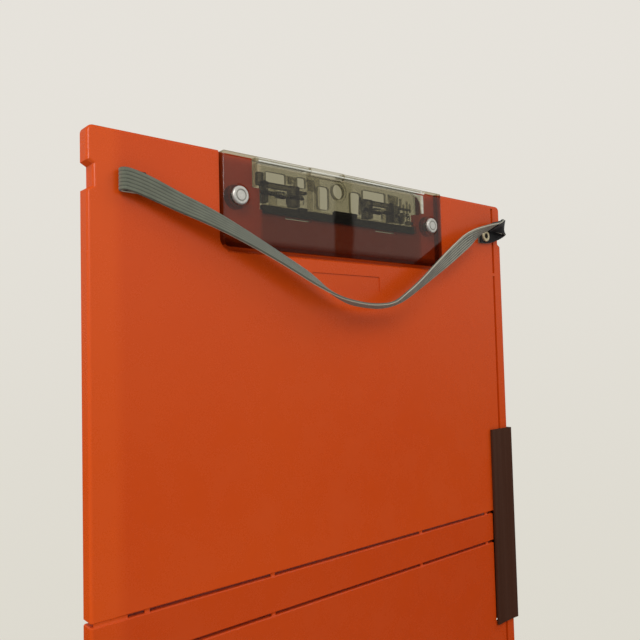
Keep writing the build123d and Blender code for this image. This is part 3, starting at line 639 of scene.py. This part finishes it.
def turnedMetal(name, s):
    mat, tree, shader = startMaterial(name, s["colour"], s["rough"], Metallic=s["metal"])
    place = split(tree, addNode(tree, "ShaderNodeTexCoord").outputs["Object"])
    x = calc(tree, "SUBTRACT", calc(tree, "ABSOLUTE", place["X"]), s["centre"][0])
    z = calc(tree, "SUBTRACT", place["Z"], s["centre"][1])
    away = calc(tree, "SQRT", calc(tree, "ADD", product(tree, x, x), product(tree, z, z)))
    rings = calc(tree, "SINE", product(tree, away, 2 * math.pi / s["ring"]))
    spots = noise(tree, coords(tree), s["spots"], 4, 0.6)
    tone = mixColour(tree, ramp(tree, spots, *s["dullSpan"]), s["colour"], s["dull"])
    # painted shade: the rivet's ring groove is coloured darker
    if "groove" in s:
        off = calc(tree, "ABSOLUTE", calc(tree, "SUBTRACT", away, s["groove"]))
        grooveShadeMask = ramp(tree, off, s["grooveHalf"] * s["grooveCore"], s["grooveHalf"], 1, 0)
        tone = mixColour(tree, grooveShadeMask, tone, s["grooveShade"])
    tree.links.new(tone, shader.inputs["Base Color"])
    roughSpan = [s["rough"] + q for q in s["roughSpan"]]
    tree.links.new(ramp(tree, spots, *s["spotSpan"], *roughSpan), shader.inputs["Roughness"])
    bump(tree, shader, ramp(tree, rings, -1, 1), s["ringDepth"], s["ringStrength"])
    return mat


finishes = {
    "orange_plastic": orangePlastic(orange),
    "brown_plastic": brownPlastic(lockFinish),
    "smoke_plastic": smokePlastic("smokePlastic", smoke),
    "bracket_plastic": smokePlastic("bracketPlastic", bracketSmoke),
    "black_rubber": blackRubber(rubberFinish),
    "sage_elastic": elasticWeave(elastic, strap, bandEdge),
    "black_webbing": blackTape(tapeFinish),
    "rivet_steel": turnedMetal("rivetMetal", rivetFinish),
    "spring_steel": turnedMetal("springMetal", springFinish),
    "eyelet_brass": turnedMetal("eyeletBrass", eyeletFinish),
}
plateFinish = smokePlastic("platePlastic", plateSmoke)
print("finishes made:", len(finishes))


def dress(piece, mat):
    piece.data.materials.clear()
    piece.data.materials.append(mat)


# each CAD node gets the finish of its slot, but two clear parts of the clip have a tint of their own
ownFinish = {"clip_back_plate": plateFinish, "clamp_rocker": smokePlastic("leverPlastic", leverSmoke)}
for subpart in frame["record"]["subparts"]:
    nodeName = subpart["node"]
    finish = ownFinish.get(nodeName, finishes[subpart["material_slot"]])
    node = frame["nodes"][nodeName]
    for part in (node if isinstance(node, (list, tuple)) else [node]):
        for slot in part.material_slots:
            slot.material = finish
dress(strapBand, finishes["sage_elastic"])
for lining in linings:
    dress(lining, finishes["black_webbing"])
print("CAD nodes dressed")


# fold bridges: short webs across each slit
bridges = dict(
    width=0.0018, places=(-0.0975, -0.044, 0.044, 0.096), wide=0.0117, wideStart=-0.1163,
    front=-0.0056, back=-0.0050, waist=0.00012, slit=0.0012, steps=10,
    # piece, node, bodies above and below, and height of the slit's middle
    folds=[("upperFoldBridges", "upper_fold_webs", "upper", "spine", -0.1592),
           ("lowerFoldBridges", "lower_fold_webs", "spine", "lower", -0.1744)],
)


def addBridges(s):
    half = s["width"] / 2
    spans = [(s["wideStart"], s["wideStart"] + s["wide"])] + [(x - half, x + half) for x in s["places"]]
    for name, node, above, below, z in s["folds"]:
        points, faces = [], []
        for x0, x1 in spans:
            start = len(points)
            for k in range(s["steps"] + 1):
                t = k / s["steps"]
                h = z + s["slit"] * (0.5 - t)
                front = s["front"] + s["waist"] * math.sin(math.pi * t)
                points += [(x0, front, h), (x1, front, h), (x1, s["back"], h), (x0, s["back"], h)]
            for k in range(s["steps"]):
                a = start + 4 * k
                for q in range(4):
                    n = (q + 1) % 4
                    faces.append((a + q, a + 4 + q, a + 4 + n, a + n))
            end = start + 4 * s["steps"]
            faces += [(start, start + 1, start + 2, start + 3), (end + 3, end + 2, end + 1, end)]
        piece = addPiece(name, points, faces, smooth=False)
        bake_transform(piece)
        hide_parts(node)
        dress(piece, finishes["orange_plastic"])


addBridges(bridges)
print("fold bridges made")


# rocker springs: wound wire round each axle with a leg up and a leg down, from its first turn's x
spring = dict(wire=0.00025, sides=8, radius=0.00125, turns=7, pitch=0.00054, turnSteps=24, bend=0.0006,
              legUp=0.0023, legDown=0.0039, starts=dict(left=-0.03606, right=0.02082), y=-0.0031, z=-0.0065)


def addTube(name, line, radius, sides):
    points = []
    before = None
    for i, p in enumerate(line):
        along = (line[min(i + 1, len(line) - 1)] - line[max(i - 1, 0)]).normalized()
        if before is None:
            before = along.orthogonal().normalized()
        u = (before - along * before.dot(along)).normalized()
        before = u
        v = along.cross(u)
        for k in range(sides):
            a = 2 * math.pi * k / sides
            points.append(p + u * (radius * math.cos(a)) + v * (radius * math.sin(a)))
    return addPiece(name, points, ringFaces(len(line), sides) + endFaces(len(line), sides))


def windCoil(s, x, y, z):
    # the wire comes down at the back, winds to the right and leaves downwards half a turn later
    steps = s["turnSteps"]
    coil = [Vector((x, y + s["radius"], z + s["legUp"])), Vector((x, y + s["radius"], z + s["bend"]))]
    for k in range(s["turns"] * steps + steps // 2 + 1):
        a = 2 * math.pi * k / steps
        back, down = s["radius"] * math.cos(a), s["radius"] * math.sin(a)
        coil.append(Vector((x + s["pitch"] * k / steps, y + back, z - down)))
    last = coil[-1]
    return coil + [Vector((last.x, last.y, z - s["bend"])), Vector((last.x, last.y, z - s["legDown"]))]


def addCoil(name, s, x, y, z):
    piece = addTube(name, windCoil(s, x, y, z), s["wire"], s["sides"])
    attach(piece, "upper")
    dress(piece, finishes["spring_steel"])
    return piece


for name, x in spring["starts"].items():
    piece = addCoil("coilSpring_" + name, spring, x, spring["y"], spring["z"])
    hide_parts("rocker_spring_" + name)
print("springs wound")


# clip's inside: guide ribs, housings and wire ends on the back plate, and a stop on the rubber bar
inside = dict(
    back=-0.0013, ribFront=-0.0023, blockFront=-0.0031, round=0.00016, ribWidth=0.0007,
    # foot x, top x, foot z, top z
    ribs=[
        (-0.0286, -0.0292, -0.0006, 0.0027), (-0.0278, -0.0280, -0.0006, 0.0027),
        (-0.0270, -0.0267, -0.0006, 0.0027), (-0.0256, -0.0252, -0.0012, 0.0027),
        (-0.0172, -0.0182, -0.0020, 0.0030), (-0.0156, -0.0166, -0.0022, 0.0030),
        (-0.0140, -0.0149, -0.0024, 0.0030), (0.0126, 0.0134, -0.0088, -0.0010),
        (0.0142, 0.0136, -0.0040, -0.0008), (0.0335, 0.0326, -0.0014, 0.0029),
        (0.0346, 0.0341, -0.0016, 0.0029), (0.0357, 0.0356, -0.0016, 0.0029),
        (0.0368, 0.0372, -0.0018, 0.0029), (0.0381, 0.0388, -0.0020, 0.0027),
        (0.0410, 0.0410, -0.0024, 0.0022), (0.0432, 0.0432, -0.0088, -0.0004),
        (0.0456, 0.0456, -0.0094, 0.0014), (0.0478, 0.0478, -0.0040, 0.0004),
    ],
    # left, right, foot and top of the dark blocks
    blocks=[
        (-0.0456, -0.0425, -0.0034, 0.0019), (-0.0425, -0.0412, -0.0034, -0.0012),
        (-0.0249, -0.0196, -0.0044, -0.0031), (0.0346, 0.0392, -0.0104, -0.0022),
        (0.0398, 0.0470, -0.0034, -0.0026), (0.0398, 0.0418, -0.0104, -0.0052),
        (0.0440, 0.0484, -0.0104, -0.0088),
    ],
    stop=(-0.0247, -0.0202, -0.0124, -0.0106), stopFront=-0.0040, stopBack=-0.0021,
)
wireEnd = dict(
    spring, wire=0.0002, radius=0.0009, turns=2, pitch=0.00056, legUp=0.0016, legDown=0.0030,
    places=[(-0.0240, -0.0034, -0.0062), (0.0424, -0.0040, -0.0064), (-0.0432, -0.0040, -0.0052),
            (0.0362, -0.0036, -0.0070)],
)


def box(left, right, foot, top):
    return [(left, foot), (right, foot), (right, top), (left, top)]


def slabInto(bm, outline, front, back, round):
    made = bm.faces.new([bm.verts.new((x, back, z)) for x, z in outline])
    grown = bmesh.ops.extrude_face_region(bm, geom=[made])["geom"]
    fresh = {q for q in grown if isinstance(q, bmesh.types.BMVert)}
    for v in fresh:
        v.co.y = front
    # the edges and faces that touch the raised face, in the mesh's own order
    edges = [e for e in bm.edges if not fresh.isdisjoint(e.verts)]
    faces = [f for f in bm.faces if not fresh.isdisjoint(f.verts)]
    bmesh.ops.recalc_face_normals(bm, faces=faces + [made])
    bmesh.ops.bevel(bm, geom=edges, offset=round, segments=2, affect="EDGES", profile=0.5)


def addSlabs(name, outlines, depths, round, body, mat):
    bm = bmesh.new()
    for outline in outlines:
        slabInto(bm, outline, *depths, round)
    mesh = bpy.data.meshes.new(name)
    bm.to_mesh(mesh)
    bm.free()
    piece = bpy.data.objects.new(name, mesh)
    bpy.context.collection.objects.link(piece)
    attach(piece, body)
    dress(piece, mat)


def addInside(s):
    half = s["ribWidth"] / 2
    ribs = [[(x0 - half, z0), (x0 + half, z0), (x1 + half, z1), (x1 - half, z1)]
            for x0, x1, z0, z1 in s["ribs"]]
    blocks = [box(*q) for q in s["blocks"]]
    addSlabs("guideRibs", ribs, (s["ribFront"], s["back"]), s["round"], "upper", plateFinish)
    addSlabs("guideBlocks", blocks, (s["blockFront"], s["back"]), s["round"] * 2, "upper",
             finishes["bracket_plastic"])
    addSlabs("barStop", [box(*s["stop"])], (s["stopFront"], s["stopBack"]), s["round"] * 2, "rocker",
             finishes["black_rubber"])


addInside(inside)
for k, place in enumerate(wireEnd["places"]):
    addCoil("wireEnd_" + str(k + 1), wireEnd, *place)
print("inside of the clip filled")


# clip's rim highlight: pale pieces that paint a bright line of light along the bead, split at the thumb bar,
# and a painted highlight in the clear corner at its right end
rim = dict(
    foot=0.00440, top=0.00492, depths=(-0.00806, -0.00760), cornerDepths=(-0.00700, -0.00650), round=0.00008,
    spans=[("rimHighlightLeft", -0.0484, -0.0211, "upper"), ("rimHighlightThumb", -0.0206, -0.0022, "rocker"),
           ("rimHighlightRight", -0.0017, 0.0518, "upper")],
    corner=[(0.0436, 0.0040), (0.0520, 0.0040), (0.0520, -0.0050), (0.0506, -0.0050), (0.0498, 0.0002),
            (0.0478, 0.0024)],
)
rimHighlightFinish = dict(pale=(0.93, 0.93, 0.86), through=(0.97, 0.97, 0.94), rough=0.35, veins=(60, 900, 900),
                 veinSpan=(0.3, 0.7), cover=(0.51, 0.79))


# painted highlight: a pale colour, let partly through in streaks
def rimHighlightPaint(s):
    mat, tree, shader = startMaterial("rimHighlightPaint", s["pale"], s["rough"])
    clear = addNode(tree, "ShaderNodeBsdfTransparent", {"Color": (*s["through"], 1)})
    veins = noise(tree, coords(tree, s["veins"]), 1.0, 3)
    toSurface(tree, mixShader(tree, ramp(tree, veins, *s["veinSpan"], *s["cover"]), clear.outputs[0],
                              shader.outputs[0]))
    return mat


def addRimHighlight(s, mat):
    for name, left, right, body in s["spans"]:
        line = box(left, right, s["foot"], s["top"])
        addSlabs(name, [line], s["depths"], s["round"], body, mat)
    addSlabs("rimCornerHighlight", [s["corner"]], s["cornerDepths"], s["round"], "upper", mat)


addRimHighlight(rim, rimHighlightPaint(rimHighlightFinish))
print("rim lines laid")
